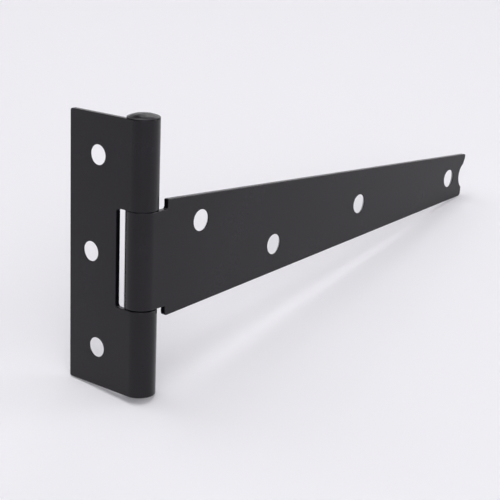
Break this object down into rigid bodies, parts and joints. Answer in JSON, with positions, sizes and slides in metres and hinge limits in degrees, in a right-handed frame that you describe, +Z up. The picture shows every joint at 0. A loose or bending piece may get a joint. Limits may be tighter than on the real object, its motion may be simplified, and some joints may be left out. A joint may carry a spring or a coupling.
{
  "type": "tee hinge",
  "caption": "Light tee hinge: a rectangular cross leaf and a long tapered strap rolled round a headed pin, with countersunk screw holes and a scooped strap tip.",
  "frame": {"origin": "midway between the cross leaf's outer two screw holes, on its mounting face", "axes": "+Y away from the post, out of the mounting face; +Z up, along the pin; +X from the origin towards the pin. The strap points along +Y at rest, square to the cross leaf."},
  "size_m": [0.0255, 0.1542, 0.0738],
  "materials": {
    "leaf_coat": "satin black powder coat",
    "pin_coat": "satin black powder coat"
  },
  "bodies": {
    "cross_side": {"cross_leaf": "leaf_coat", "hinge_pin": "pin_coat"},
    "strap_side": {"strap_leaf": "leaf_coat"}
  },
  "joints": [
    {"name": "strap_swing", "type": "hinge", "parent": "cross_side", "child": "strap_side", "pos_m": [0.0114, 0.0042, 0], "axis": [0, 0, 1], "range_deg": [-180, 103]}
  ]
}
